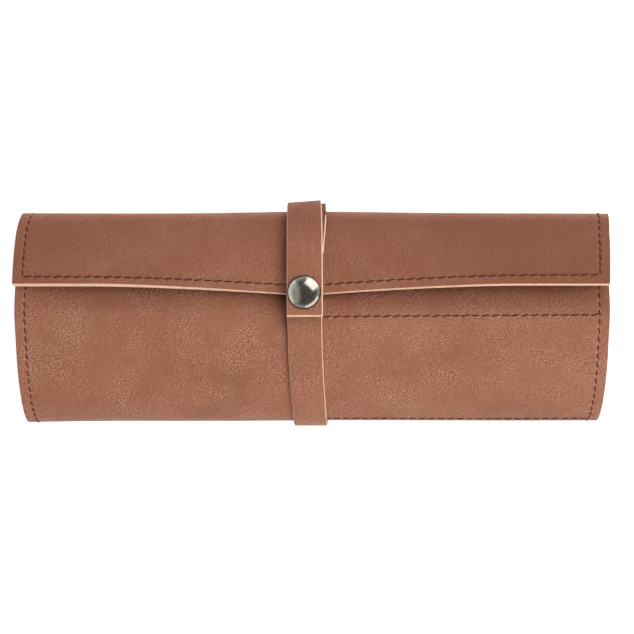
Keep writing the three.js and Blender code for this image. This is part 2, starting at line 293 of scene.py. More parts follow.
def arc(centre_y, centre_z, half_width, half_height, start, stop, count=80):
    """Points of an ellipse about a centre, from one angle to another, in degrees."""
    t = np.radians(np.linspace(start, stop, count))
    return np.column_stack([centre_y + half_width * np.cos(t), centre_z + half_height * np.sin(t)])


def line(*points):
    return np.array(points, float)


class Path:
    """A line in the section, looked up by the distance along it, with its outward normal."""

    STEP = 0.25

    def __init__(self, *stretches):
        points = np.concatenate(stretches)
        gaps = np.hypot(*np.diff(points, axis=0).T)
        points = points[np.concatenate([[True], gaps > 1e-6])]
        along = np.concatenate([[0], np.cumsum(np.hypot(*np.diff(points, axis=0).T))])
        self.length = along[-1]
        self.d = np.linspace(0, self.length, int(self.length / self.STEP))
        self.y = np.interp(self.d, along, points[:, 0])
        self.z = np.interp(self.d, along, points[:, 1])
        run_y, run_z = np.gradient(self.y), np.gradient(self.z)
        size = np.hypot(run_y, run_z)
        self.out_y, self.out_z = -run_z / size, run_y / size

    def at(self, d):
        d = np.clip(d, 0, self.length)
        return [np.interp(d, self.d, row) for row in (self.y, self.z, self.out_y, self.out_z)]

    def nearest(self, y, z):
        return self.d[np.argmin(np.hypot(self.y - y, self.z - z))]


tuck_radius = (FRONT_TUCK**2 + FRONT_TUCK_DROP**2) / (2 * FRONT_TUCK_DROP)
tuck_angle = math.degrees(math.acos(FRONT_TUCK / tuck_radius))
SHEET = Path(
    line((FLAP_EDGE_Y, FLAP_Z)),
    arc(FLAP_APEX_Y, TOP_Z, TOP_Y - FLAP_APEX_Y, FLAP_Z - TOP_Z, 90, 0),
    arc(BACK_TOP_Y, TOP_Z, TOP_Y - BACK_TOP_Y, TOP_Z - BACK_Z, 0, -90),
    arc(BACK_BOTTOM_Y, BOTTOM_Z, BACK_BOTTOM_Y - BOTTOM_Y, BOTTOM_Z - BACK_Z, -90, -180),
    arc(FRONT_APEX_Y, BOTTOM_Z, FRONT_APEX_Y - BOTTOM_Y, FRONT_Z - BOTTOM_Z, 180, 90),
    arc(FRONT_APEX_Y, FRONT_Z - tuck_radius, tuck_radius, tuck_radius, 90, tuck_angle),
)
STRAP = Path(
    line((end_low[1], end_high[2])),
    arc(FLAP_APEX_Y, TOP_Z, strap_high[1] - FLAP_APEX_Y, end_high[2] - TOP_Z, 90, 0),
    arc(BACK_TOP_Y, TOP_Z, strap_high[1] - BACK_TOP_Y, TOP_Z, 0, -90),
    arc(BACK_BOTTOM_Y, BOTTOM_Z, BACK_BOTTOM_Y - strap_low[1], BOTTOM_Z, -90, -180),
    arc(FRONT_APEX_Y, BOTTOM_Z, FRONT_APEX_Y - strap_low[1], tail_high[2] - BOTTOM_Z, 180, 90),
    line((tail_high[1], tail_high[2])),
)

D_STRAP_TOP = STRAP.nearest(strap_high[1], TOP_Z)
D_STRAP_FOOT = STRAP.nearest(strap_low[1], BOTTOM_Z)
D_STRAP_COVERED = STRAP.nearest(end_low[1], tail_high[2])
D_STRAP_STEP = STRAP.nearest(STRAP_STEP_Y, tail_high[2])
D_STRAP_STEP_END = STRAP.nearest(STRAP_STEP_END_Y, tail_high[2])
D_STRAP_FREE_STOP = STRAP.nearest(STRAP_FREE_STOP_Y, 0)
D_SPLIT = SHEET.nearest(BACK_SPLIT_Y, BACK_Z)
D_END = SHEET.length
D_TOP = SHEET.nearest(TOP_Y, TOP_Z)
D_BOTTOM = SHEET.nearest(BOTTOM_Y, BOTTOM_Z)
D_MOUTH = SHEET.nearest(POCKET_SEAM_Y, FRONT_Z)
D_DIP = SHEET.nearest(FRONT_DIP_Y, FRONT_Z)
foot_low, foot_high = box_mm("seam_pocket_foot")
D_FOOT = SHEET.nearest((foot_low[1] + foot_high[1]) / 2, (foot_low[2] + foot_high[2]) / 2)
pocket_low, pocket_high = box_mm("tool_pocket")
POCKET_LEFT = pocket_low[0]


# Soft form

def smooth(t):
    """Eases from 0 to 1 as t goes from 0 to 1."""
    t = np.clip(t, 0, 1)
    return t * t * (3 - 2 * t)


def floats(*values):
    """The values as arrays of floats, all of one shape."""
    return np.broadcast_arrays(*(np.asarray(value, float) for value in values))


def edge_draw(x):
    """How far the flap's edge draws back: nothing under the strap, rising to each end as a power curve."""
    away = np.abs(x - STRAP_X) - STRAP_WIDTH / 2
    rise = 1 - (1 - np.clip(away / EDGE_DRAW_SPAN, 0, 1)) ** EDGE_DRAW_POWER
    return rise * np.where(x < STRAP_X, EDGE_DRAW_LEFT, EDGE_DRAW_RIGHT)


def sheet_skew(d):
    """The sheet is rolled a little askew: its sideways shift at stations along the section."""
    stations = [0, FLAP_REACH, D_TOP, D_SPLIT, D_BOTTOM, D_MOUTH, D_END]
    return np.interp(d, stations, SHEET_SKEWS)


def crest(x):
    """The roll's top bulges out by the strap, as a bell curve of the distance from it."""
    return CREST_RISE * np.exp(-(((x - STRAP_X) / CREST_SPAN) ** 2))


def foot_bow(x):
    """The bottom fold bows: its ends lie a little lower than its middle."""
    return (x / HALF_LENGTH) ** 2 * np.where(x < 0, FOOT_BOW_LEFT, FOOT_BOW_RIGHT)


def front_dip(x, d):
    """How far the front sinks where it goes under the flap: a hyperbola of the way in, slowly fading. It is
    more to the right of the strap and less at the roll's ends."""
    to_right = smooth((x - STRAP_X) / FRONT_DIP_TURN + 0.5)
    most = FRONT_DIP_LEFT + (FRONT_DIP_RIGHT - FRONT_DIP_LEFT) * to_right
    at_ends = smooth((np.abs(x) - HALF_LENGTH + FRONT_DIP_EASE) / FRONT_DIP_EASE)
    way_in = np.maximum(d - D_DIP, 0)
    sink = (np.sqrt(1 + (way_in / FRONT_DIP_BEND) ** 2) - 1) / (1 + way_in / FRONT_DIP_FADE)
    return most * sink * (1 - FRONT_DIP_LOSS * at_ends)


class Seam:
    """A straight sewing line in flat coordinates, with a whole number of stitches that each take up a share
    of the pitch."""

    def __init__(self, start, stop, pitch, share):
        self.share = share
        self.start = np.array(start, float)
        span = np.array(stop, float) - self.start
        self.length = np.hypot(*span)
        self.run = span / self.length
        self.count = max(1, int(round(self.length / pitch)))
        self.pitch = self.length / self.count

    def along_and_across(self, x, d):
        """Distances along the line from its start, and across it."""
        along = (x - self.start[0]) * self.run[0] + (d - self.start[1]) * self.run[1]
        across = (x - self.start[0]) * self.run[1] - (d - self.start[1]) * self.run[0]
        return along, across

    def dip(self, x, d):
        """How far the thread pulls the leather in, 0 to 1: a bell curve across, deeper at the holes."""
        along, across = self.along_and_across(x, d)
        inside = smooth(along / GROOVE_WIDTH + 1) * smooth((self.length - along) / GROOVE_WIDTH + 1)
        holes = 1 - GROOVE_HOLES + GROOVE_HOLES * np.cos(2 * math.pi * along / self.pitch)
        return inside * holes * np.exp(-((across / GROOVE_WIDTH) ** 2))

    def pull(self, x, d):
        """Painted highlights on both sides of the line, 0 to 1, where the thread pulls the leather up."""
        along, across = self.along_and_across(x, d)
        inside = (along > 0) & (along < self.length)
        holes = 0.5 + 0.5 * np.cos(2 * math.pi * along / self.pitch + PULL_HIGHLIGHT_LEAN * np.sign(across))
        return inside * holes * np.exp(-(((np.abs(across) - PULL_HIGHLIGHT_OFFSET) / PULL_HIGHLIGHT_WIDTH) ** 2))

    def middles(self):
        """The middle of each stitch."""
        return self.start + (np.arange(self.count) + 0.5)[:, None] * self.pitch * self.run


EDGE_CORNERS = ((-SEAM_X, EDGE_SEAM_LEFT), (SEAM_X, EDGE_SEAM_RIGHT))
UPPER_SEAMS = [Seam((x, d), (STRAP_X, EDGE_SEAM_MIDDLE), EDGE_PITCH, EDGE_SHARE) for x, d in EDGE_CORNERS]
UPPER_SEAMS += [Seam((x, d), (x, D_SPLIT), SIDE_PITCH, SIDE_SHARE) for x, d in EDGE_CORNERS]
LOWER_SEAMS = [Seam((x, D_SPLIT), (x, D_END - SIDE_SEAM_STOP), SIDE_PITCH, SIDE_SHARE)
               for x in (-SEAM_X, SEAM_X)]
LOWER_SEAMS += [Seam((POCKET_LEFT, d - tilt), (SEAM_X, d), EDGE_PITCH, EDGE_SHARE)
                for d, tilt in ((D_FOOT, 0), (D_MOUTH, POCKET_SEAM_TILT))]


def seam_groove(x, d):
    """The leather's dip along its seams, the deepest of them at each place."""
    return GROOVE_DEPTH * np.max([seam.dip(x, d) for seam in UPPER_SEAMS + LOWER_SEAMS], axis=0)


def seam_pull_highlight(x, d):
    """The painted highlights along all seams of the leather."""
    return np.max([seam.pull(x, d) for seam in UPPER_SEAMS + LOWER_SEAMS], axis=0)


def cover_marks(x, d):
    """Marks on the leather: painted highlights beside its seams, the share of its grain and grain highlights
    muted on the flap, and the share of a darker tone. That tone is painted shade on the flap up to its top
    bend, more to the right and lifted by painted highlights near its edge and by the snap; painted shadow on
    the front where the flap covers it; and a little darker towards the right end."""
    on_flap = smooth((FLAP_PAINTED_SHADE_END - d) / TONE_FADE)
    across = [-TONE_SPAN, TONE_SPAN]
    # Painted shade on the flap, more to the right
    flap_painted_shade = np.interp(x, across, [FLAP_PAINTED_SHADE_LEFT, FLAP_PAINTED_SHADE_RIGHT])
    # Painted shadow on the front under the flap, more to the right
    painted_shadow_depth = np.interp(x, across, [COVERED_PAINTED_SHADOW_LEFT, COVERED_PAINTED_SHADOW_RIGHT])
    end_tone = END_TONE * smooth((x - END_TONE_START) / END_TONE_SPAN)
    # Painted highlights near the flap's edge and by the snap, lessening its painted shade
    by_snap = np.exp(-(((x - STRAP_X) / PAINTED_HIGHLIGHT_BY_SNAP_SPAN) ** 2))
    rubbing_and_painted_highlight = (PAINTED_HIGHLIGHT_EDGE + PAINTED_HIGHLIGHT_BY_SNAP * by_snap) * np.clip(1 - d / PAINTED_HIGHLIGHT_REACH, 0, 1)
    # Where the painted shadow lies on the front, rising in under the flap's edge
    painted_shadow = np.clip((d - D_MOUTH - PAINTED_SHADOW_PAST_MOUTH) / PAINTED_SHADOW_SPAN + 1, 0, 1)
    tone = on_flap * flap_painted_shade * (1 - rubbing_and_painted_highlight) + (1 - on_flap) * np.maximum(end_tone, painted_shadow_depth * painted_shadow)
    return {"pull": seam_pull_highlight(x, d), "calm": on_flap, "tone": tone}


def strap_marks(u, d):
    """Marks on the strap: its grain and grain highlights muted up to just past its crown, with painted shade
    along its upper run that fades out near its tip, and painted shadow on the tail where the tip covers it."""
    on_top = smooth((D_STRAP_TOP + STRAP_PAINTED_SHADE_PAST_CROWN - d) / TONE_FADE)
    # Painted shadow on the tail under the strap's tip
    painted_shadow = STRAP_TIP_PAINTED_SHADOW * np.clip((d - D_STRAP_COVERED) / STRAP_TIP_PAINTED_SHADOW_SPAN + 1, 0, 1)
    # Painted shade along the upper run, plus the painted shadow under the tip
    return {"calm": on_top, "tone": on_top * np.interp(d, STRAP_PAINTED_SHADE_PLACES, STRAP_PAINTED_SHADES) + painted_shadow}


def swell(x, d):
    """Slow unevenness of soft leather: the product of two long waves, and a slanting one."""
    bumps = np.sin(x / SWELL_WAVES[0] + SWELL_PHASES[0]) * np.sin(d / SWELL_WAVES[1] + SWELL_PHASES[1])
    drift = np.sin(x / DRIFT_WAVES[0] - d / DRIFT_WAVES[1] + DRIFT_PHASE)
    return SWELL * (bumps + DRIFT_SHARE * drift)


def place_sheet(x, d, depth):
    """The point of the rolled sheet at flat coordinates x and d, at a depth below its outer face: the path's
    point moved in along its normal, with the flap drawn back and lifted towards its ends, and the front
    sinking where it goes under the flap. Its ends draw in at the bottom fold and at the flap's worn left
    corner, and spread a little under the flap."""
    x, d, depth = floats(x, d, depth)
    y, z, out_y, out_z = SHEET.at(d)
    inwards = depth + seam_groove(x, d) * np.exp(-depth / LEATHER) - swell(x, d)
    y = y - inwards * out_y
    z = z - inwards * out_z
    near_edge = smooth(1 - d / FLAP_REACH)
    draw = edge_draw(x)
    at_top = np.exp(-(((d - D_TOP) / BEND_SPAN) ** 2))
    at_foot = np.exp(-(((d - D_BOTTOM) / BEND_SPAN) ** 2))
    y = y + (draw - FLAP_FORWARD) * near_edge + crest(x) * at_top - foot_bow(x) * at_foot
    z = z + FLAP_LIFT * draw / EDGE_DRAW_RIGHT * np.clip(1 - d / FLAP_REACH, 0, 1) ** 2
    z = z - front_dip(x, d)
    flare = FRONT_FLARE * smooth((d - D_MOUTH) / FRONT_FLARE_SPAN + 1)
    corner = EDGE_CORNER / HALF_LENGTH * np.clip(1 - d / EDGE_CORNER_SPAN, 0, 1) ** 2 * (x < 0)
    return np.stack([x * (1 - FOOT_TAPER * at_foot + flare - corner) + sheet_skew(d), y, z], axis=-1)


def strap_shift(d):
    """The strap's sideways shift along its run: it wanders to the right at the bottom of the roll."""
    middle = (D_STRAP_TOP + D_STRAP_FOOT) / 2
    stations = [0, D_STRAP_TOP, middle, D_STRAP_FOOT, STRAP.length - STRAP_SHIFT_SETTLED, STRAP.length]
    return np.interp(d, stations, STRAP_SHIFTS)


def place_strap(u, d, depth):
    """The point of the strap at u across and d along it: the path's point moved in along its normal, twisted
    a little at the crown, with soft waves along its free run. It hugs the front and steps up to the flap's
    edge, and it narrows at the crown's right and on the front."""
    u, d, depth = floats(u, d, depth)
    y, z, out_y, out_z = STRAP.at(d)
    crown = np.exp(-(((d - D_STRAP_TOP) / STRAP_CROWN_SPAN) ** 2))
    foot = np.exp(-(((d - D_STRAP_FOOT) / STRAP_FOOT_SPAN) ** 2))
    twist = STRAP_TWIST * crown * (u / STRAP_WIDTH)
    free = smooth((d - STRAP_FREE_START) / STRAP_FREE_START_EASE)
    free = free * smooth((D_STRAP_FREE_STOP - d) / STRAP_FREE_STOP_EASE)
    wave = STRAP_WAVE * free * np.sin(d / STRAP_WAVE_LENGTH)
    step_up = smooth((D_STRAP_STEP_END - d) / (D_STRAP_STEP_END - D_STRAP_STEP))
    hug = STRAP_HUG * smooth((d - D_STRAP_FOOT) / STRAP_HUG_EASE) * step_up
    inwards = depth - twist - wave - CREST_RISE * crown + STRAP_FOOT_DRAW * foot + hug
    on_front = smooth((d - D_STRAP_FOOT + STRAP_FRONT_NARROW_EASE) / STRAP_FRONT_NARROW_EASE)
    width = 1 - STRAP_CROWN_NARROW * crown * (u > 0) - STRAP_FRONT_NARROW * on_front
    x = STRAP_X + strap_shift(d) + u * width
    return np.stack([x, y - inwards * out_y, z - inwards * out_z], axis=-1)


# Meshes

def put_mesh(name, vertices, faces, materials, face_materials=None, flat=None, sharp_degrees=40):
    """Makes an object from points in millimetres, with smooth faces, sharp corners and, where it has flat
    coordinates, a UV map of them in metres."""
    mesh = bpy.data.meshes.new(name)
    mesh.from_pydata((vertices * MM).tolist(), [], faces)
    for material in materials:
        mesh.materials.append(material)
    if face_materials is not None:
        mesh.polygons.foreach_set("material_index", np.asarray(face_materials, np.int32))
    if flat is not None:
        corners = np.zeros(len(mesh.loops), np.int32)
        mesh.loops.foreach_get("vertex_index", corners)
        layer = mesh.uv_layers.new(name="flat")
        layer.data.foreach_set("uv", (flat[corners] * MM).astype(np.float32).ravel())
    mesh.polygons.foreach_set("use_smooth", np.ones(len(mesh.polygons), bool))
    mesh.set_sharp_from_angle(angle=math.radians(sharp_degrees))
    mesh.update()
    piece = bpy.data.objects.new(name, mesh)
    bpy.context.scene.collection.objects.link(piece)
    return piece


def border(rows, columns):
    """Indices round the edge of a grid, along its first side first."""
    index = np.arange(rows * columns).reshape(rows, columns)
    return np.concatenate([index[:-1, 0], index[-1, :-1], index[:0:-1, -1], index[0, :0:-1]])


def closed_sheet(name, place, outer, inner, depths, materials, marks=None):
    """A closed sheet between two grids of flat coordinates: an outer face, an inner face, and a cut edge
    round the border with a row along its middle. Marks are values at each point that its finish reads."""
    outer_points = place(outer[0], outer[1], depths[0])
    inner_points = place(inner[0], inner[1], depths[1])
    rows, columns = outer[0].shape
    count = rows * columns
    rim = border(rows, columns)
    flat_outer = np.stack(outer, -1).reshape(-1, 2)
    flat_inner = np.stack(inner, -1).reshape(-1, 2)
    flat_middle = (flat_outer[rim] + flat_inner[rim]) / 2
    middle = place(*flat_middle.T, (depths[0] + depths[1]) / 2)
    vertices = np.concatenate([outer_points.reshape(-1, 3), inner_points.reshape(-1, 3), middle])
    flat = np.concatenate([flat_outer, flat_inner, flat_middle])
    index = np.arange(count).reshape(rows, columns)
    quads = np.stack([index[:-1, :-1], index[1:, :-1], index[1:, 1:], index[:-1, 1:]], -1).reshape(-1, 4)
    mid = 2 * count + np.arange(len(rim))
    wall_outer = np.stack([rim, mid, np.roll(mid, -1), np.roll(rim, -1)], -1)
    wall_inner = np.stack([mid, rim + count, np.roll(rim, -1) + count, np.roll(mid, -1)], -1)
    faces = np.concatenate([quads, quads[:, ::-1] + count, wall_outer, wall_inner])
    kinds = np.repeat([0, 2, 1], [len(quads), len(quads), 2 * len(rim)])
    piece = put_mesh(name, vertices, faces.tolist(), materials, kinds, flat)
    for mark, values in (marks(*flat.T) if marks else {}).items():
        layer = piece.data.attributes.new(mark, "FLOAT", "POINT")
        layer.data.foreach_set("value", values.astype(np.float32))
    return piece


def spaced(low, high, coarse, lines=(), fine=0.35, reach=2.4):
    """Places from low to high, a coarse step apart, with finer steps on both sides of each given line."""
    places = [np.linspace(low, high, max(2, int(round((high - low) / coarse)) + 1))]
    places += [np.arange(at - reach, at + reach, fine) for at in lines]
    every = np.unique(np.round(np.concatenate(places), 4))
    every = every[(every > low) & (every < high)]
    inside = every[(every > low + fine / 2) & (every < high - fine / 2)]
    return np.concatenate([[low], inside, [high]])


def lathe(name, profile, materials, kinds=None, steps=96):
    """A turned piece on the snap's axis: a profile of radius and height carried round a circle, with the
    kind of material for each step of the profile."""
    profile = np.array(profile, float)
    if kinds is None:
        kinds = np.zeros(len(profile) - 1, int)
    turn = np.linspace(0, 2 * math.pi, steps, endpoint=False)
    x = STRAP_X + np.outer(profile[:, 0], np.cos(turn))
    y = SNAP_Y + np.outer(profile[:, 0], np.sin(turn))
    z = np.repeat(profile[:, 1:2], steps, axis=1)
    vertices = np.stack([x, y, z], -1).reshape(-1, 3)
    index = np.arange(len(vertices)).reshape(len(profile), steps)
    ahead = np.roll(index, -1, axis=1)
    quads = np.stack([index[:-1], ahead[:-1], ahead[1:], index[1:]], -1).reshape(-1, 4)
    piece = put_mesh(name, vertices, quads.tolist(), materials, np.repeat(kinds, steps), sharp_degrees=50)
    shape = bmesh.new()
    shape.from_mesh(piece.data)
    bmesh.ops.remove_doubles(shape, verts=shape.verts, dist=1e-7)
    bmesh.ops.dissolve_degenerate(shape, edges=shape.edges, dist=1e-8)
    bmesh.ops.recalc_face_normals(shape, faces=shape.faces)
    shape.to_mesh(piece.data)
    shape.free()
    return piece


def stitch_rows(name, seams, place, material):
    """Stitches along sewing lines: each is a short thread, a round section carried along a hump that dives
    into the leather at both ends and slants a little across the line. Its length and slant vary a little."""
    t = np.linspace(-1, 1, STITCH_RINGS)
    turn = np.linspace(0, 2 * math.pi, STITCH_SIDES, endpoint=False)
    centres, runs, ups, halves = [], [], [], []
    for seam in seams:
        flat = seam.middles()
        step = seam.run / 2
        here = place(flat[:, 0], flat[:, 1], 0.0)
        run = place(*(flat + step).T, 0.0) - place(*(flat - step).T, 0.0)
        up = place(flat[:, 0], flat[:, 1], -LEATHER / 2) - here
        centres.append(here)
        runs.append(run / np.linalg.norm(run, axis=1, keepdims=True))
        ups.append(up / np.linalg.norm(up, axis=1, keepdims=True))
        halves.append(np.full((seam.count, 1), seam.pitch * seam.share / 2))
    centre, run, up, half = (np.concatenate(part)[:, None, None, :] for part in (centres, runs, ups, halves))
    side = np.cross(up, run)
    vary = np.sin(np.arange(len(centre)) * STITCH_VARY_TURN)[:, None, None, None]
    along = t[None, :, None, None] * half * (1 + STITCH_VARY_LENGTH * vary)
    hump = (STITCH_RISE - STITCH_DIVE * t**4)[None, :, None, None]
    across = (t * STITCH_SLANT)[None, :, None, None] * (1 + STITCH_VARY_SLANT * vary)
    radius = (STITCH_RADIUS * (1 - STITCH_THINNING * t**2))[None, :, None, None]
    ring_side = (np.cos(turn) * STITCH_WIDE)[None, None, :, None]
    ring_up = (np.sin(turn) * STITCH_LOW)[None, None, :, None]
    points = centre + run * along + side * (across + radius * ring_side) + up * (hump + radius * ring_up)
    stitches, lengths, turns = points.shape[:3]
    index = np.arange(stitches * lengths * turns).reshape(stitches, lengths, turns)
    ahead = np.roll(index, -1, axis=2)
    quads = np.stack([index[:, :-1], ahead[:, :-1], ahead[:, 1:], index[:, 1:]], -1).reshape(-1, 4)
    caps = np.concatenate([index[:, 0, ::-1], index[:, -1]])
    faces = quads.tolist() + caps.tolist()
    return put_mesh(name, points.reshape(-1, 3), faces, [material], sharp_degrees=80)


# Finishes

class Finish:
    """A material and short ways to add its nodes."""

    def __init__(self, name):
        self.material = bpy.data.materials.new(name)
        self.material.use_nodes = True
        self.tree = self.material.node_tree
        self.shader = self.tree.nodes["Principled BSDF"]

    def node(self, kind, links=(), **values):
        made = self.tree.nodes.new(kind)
        for key, value in values.items():
            if hasattr(made, key):
                setattr(made, key, value)
            else:
                made.inputs[key.replace("_", " ")].default_value = value
        for socket, source in links:
            self.tree.links.new(source, made.inputs[socket])
        return made

    def link(self, source, socket):
        self.tree.links.new(source, self.shader.inputs[socket])

    def fix(self, **values):
        for key, value in values.items():
            self.shader.inputs[key.replace("_", " ")].default_value = value

    def coordinates(self, kind):
        return self.node("ShaderNodeTexCoord").outputs[kind]

    def mark(self, name):
        return self.node("ShaderNodeAttribute", attribute_name=name).outputs["Fac"]

    def noise(self, vector, scale, detail=3.0, roughness=0.55):
        links = [("Vector", vector)]
        made = self.node("ShaderNodeTexNoise", links, Scale=scale, Detail=detail, Roughness=roughness)
        return made.outputs["Fac"]

    def spread(self, value, low, high, to_low, to_high):
        limits = {"From_Min": low, "From_Max": high, "To_Min": to_low, "To_Max": to_high}
        return self.node("ShaderNodeMapRange", [("Value", value)], **limits).outputs["Result"]

    def times(self, first, second):
        return self.node("ShaderNodeMath", [(0, first), (1, second)], operation="MULTIPLY").outputs[0]

    def mixed(self, share, first, second):
        made = self.node("ShaderNodeMix", [(0, share)], data_type="RGBA")
        for slot, colour in ((6, first), (7, second)):
            if isinstance(colour, tuple):
                made.inputs[slot].default_value = (*colour, 1)
            else:
                self.tree.links.new(colour, made.inputs[slot])
        return made.outputs[2]

    def two_tone(self, value, low, high, first, second):
        self.link(self.mixed(self.spread(value, low, high, 0, 1), first, second), "Base Color")

    def bumped(self, height, strength, distance, before=None):
        made = self.node("ShaderNodeBump", [("Height", height)], Strength=strength, Distance=distance)
        if before is not None:
            self.tree.links.new(before, made.inputs["Normal"])
        return made.outputs["Normal"]


def leather_finish(name, deep_and_painted_shade, dark, ruddy, light, fleck, roughness):
    """Grained leather: clouds of tone and of a redder hue, and in clumps slanting wrinkles and a fine
    speckle, partly grain colour and partly painted highlights on the high spots and painted shade in the
    pores, with the same grain in the bump. The piece's marks say where that grain is muted, where a seam's
    edges take painted highlights, and how far it darkens, mostly as painted shade and painted shadow."""
    finish = Finish(name)
    flat = finish.coordinates("UV")
    clouds = finish.noise(flat, scale=26, detail=4)
    patches = finish.noise(flat, scale=150)
    speckle = finish.noise(flat, SPECKLE_SCALE, detail=1.5, roughness=0.6)
    slant = finish.node(
        "ShaderNodeMapping", [("Vector", flat)], vector_type="TEXTURE",
        Rotation=(0, 0, math.radians(WRINKLE_SLANT)), Scale=(WRINKLE_STEP * MM, WRINKLE_RUN * MM, 1))
    wrinkles = finish.noise(slant.outputs["Vector"], scale=1, detail=2, roughness=0.5)
    pebbles = finish.node("ShaderNodeTexVoronoi", [("Vector", flat)], feature="SMOOTH_F1", Scale=800.0)
    clumps = finish.spread(finish.noise(flat, scale=52), 0.39, 0.63, 0.18, 1.1)
    # Grain strength, with its painted highlights and pore shade muted on the flap and the strap's crown
    grainy = finish.times(clumps, finish.spread(finish.mark("calm"), 0, 1, 1, MUTED_GRAIN_AND_HIGHLIGHTS_SHARE))
    tone = finish.mixed(finish.spread(clouds, 0.32, 0.68, 0.1, 0.92), dark, light)
    flush = finish.noise(flat, scale=38, detail=2)
    flushed = finish.mixed(finish.spread(flush, 0.44, 0.62, 0, 0.6), tone, ruddy)
    shade = finish.mixed(finish.spread(patches, 0.35, 0.65, 0, 0.3), flushed, dark)
    # Wrinkle tops lighter and troughs darker: partly grain colour, partly painted highlight and painted
    # shade
    high = finish.mixed(finish.times(grainy, finish.spread(wrinkles, 0.5, 0.68, 0, 0.6)), shade, light)
    low = finish.mixed(finish.times(grainy, finish.spread(wrinkles, 0.48, 0.3, 0, 0.4)), high, deep_and_painted_shade)
    # Speckle: light flecks and darker pores, partly grain colour, partly painted highlights and painted
    # shade
    speckle_and_highlight = finish.mixed(finish.times(grainy, finish.spread(speckle, 0.51, 0.63, 0, 0.76)), low, fleck)
    pores_and_shade = finish.mixed(finish.times(grainy, finish.spread(speckle, 0.48, 0.36, 0, 0.70)), speckle_and_highlight, deep_and_painted_shade)
    # Painted highlights beside the seams, broken up by the speckle
    broken = finish.spread(speckle, 0.44, 0.58, 0.1, 0.75)
    pull = finish.spread(finish.mark("pull"), 0.15, 1, 0, 1)
    pull_highlighted = finish.mixed(finish.times(pull, broken), pores_and_shade, fleck)
    # The tone mark mixes in the darkest colour: painted shade, painted shadow, and a darker right end
    finish.link(finish.mixed(finish.mark("tone"), pull_highlighted, deep_and_painted_shade), "Base Color")
    finish.link(finish.spread(patches, 0.3, 0.7, roughness - 0.06, roughness + 0.08), "Roughness")
    grain = finish.bumped(pebbles.outputs["Distance"], 0.7, 0.0003)
    creased = finish.bumped(wrinkles, 0.7, 0.0005, grain)
    finish.link(finish.bumped(speckle, 0.7, 0.0004, creased), "Normal")
    finish.fix(Specular_IOR_Level=0.15)
    return finish.material


def raw_edge_finish():
    """Cut edge of the leather: a pale fibrous core with darker flecks."""
    finish = Finish("raw_edge")
    fibres = finish.noise(finish.coordinates("Object"), scale=900)
    finish.two_tone(fibres, 0.35, 0.7, (0.96, 0.65, 0.46), (0.77, 0.47, 0.31))
    finish.link(finish.bumped(fibres, 0.3, 0.0001), "Normal")
    finish.fix(Roughness=0.75)
    return finish.material


def suede_finish():
    """Suede lining: a short nap whose brushed patches are lighter or darker."""
    finish = Finish("suede_lining")
    flat = finish.coordinates("UV")
    brushed = finish.noise(flat, scale=60, detail=4)
    nap = finish.noise(flat, scale=2400, roughness=0.7)
    tone = finish.mixed(finish.spread(brushed, 0.35, 0.65, 0, 1), (0.36, 0.21, 0.12), (0.48, 0.30, 0.18))
    fleck = finish.mixed(finish.spread(nap, 0.45, 0.75, 0, 0.4), tone, (0.58, 0.40, 0.26))
    finish.link(fleck, "Base Color")
    finish.link(finish.bumped(nap, 0.4, 0.0002), "Normal")
    finish.fix(Roughness=0.95, Sheen_Weight=0.25)
    return finish.material


def thread_finish():
    """Twisted thread: dark brown with fine light fibres."""
    finish = Finish("thread")
    fibres = finish.noise(finish.coordinates("Object"), scale=3000, detail=2)
    finish.two_tone(fibres, 0.4, 0.7, (0.075, 0.016, 0.010), (0.155, 0.039, 0.023))
    finish.link(finish.bumped(fibres, 0.4, 0.0001), "Normal")
    finish.fix(Roughness=0.8, Specular_IOR_Level=0.15)
    return finish.material


def dark_nickel_finish():
    """Polished dark nickel with faint rubbing marks in its gloss."""
    finish = Finish("dark_nickel")
    rubbing_and_painted_highlight = finish.noise(finish.coordinates("Object"), scale=700, detail=4)
    finish.two_tone(rubbing_and_painted_highlight, 0.35, 0.65, (0.305, 0.275, 0.235), (0.365, 0.332, 0.288))
    finish.link(finish.spread(rubbing_and_painted_highlight, 0.3, 0.7, 0.15, 0.21), "Roughness")
    finish.fix(Metallic=1.0)
    return finish.material


def rim_painted_shade_finish():
    """The cap's rolled rim: the same metal, darkened to near black as a painted shade line round the dome.
    """
    finish = Finish("rim_painted_shade")
    stains = finish.noise(finish.coordinates("Object"), scale=900)
    finish.two_tone(stains, 0.35, 0.65, (0.020, 0.015, 0.011), (0.050, 0.038, 0.030))
    finish.fix(Metallic=0.6, Roughness=0.5)
    return finish.material


cover_leather = leather_finish(
    "cover_leather", deep_and_painted_shade=(0.20, 0.063, 0.032), dark=(0.295, 0.112, 0.062), ruddy=(0.395, 0.143, 0.084),
    light=(0.475, 0.208, 0.124), fleck=(0.610, 0.305, 0.205), roughness=0.5)
strap_leather = leather_finish(
    "strap_leather", deep_and_painted_shade=(0.20, 0.066, 0.035), dark=(0.320, 0.122, 0.068), ruddy=(0.420, 0.153, 0.090),
    light=(0.504, 0.223, 0.134), fleck=(0.610, 0.305, 0.205), roughness=0.48)
# Second ply: a darker copy of the strap leather, as painted shade where it lies in shadow under the strap's
# crown
ply_leather_painted_shade = leather_finish(
    "ply_leather_painted_shade", deep_and_painted_shade=(0.10, 0.035, 0.020), dark=(0.150, 0.055, 0.032), ruddy=(0.185, 0.066, 0.040),
    light=(0.220, 0.090, 0.055), fleck=(0.270, 0.120, 0.078), roughness=0.6)
raw_edge = raw_edge_finish()
suede = suede_finish()
thread = thread_finish()
dark_nickel = dark_nickel_finish()
rim_painted_shade = rim_painted_shade_finish()

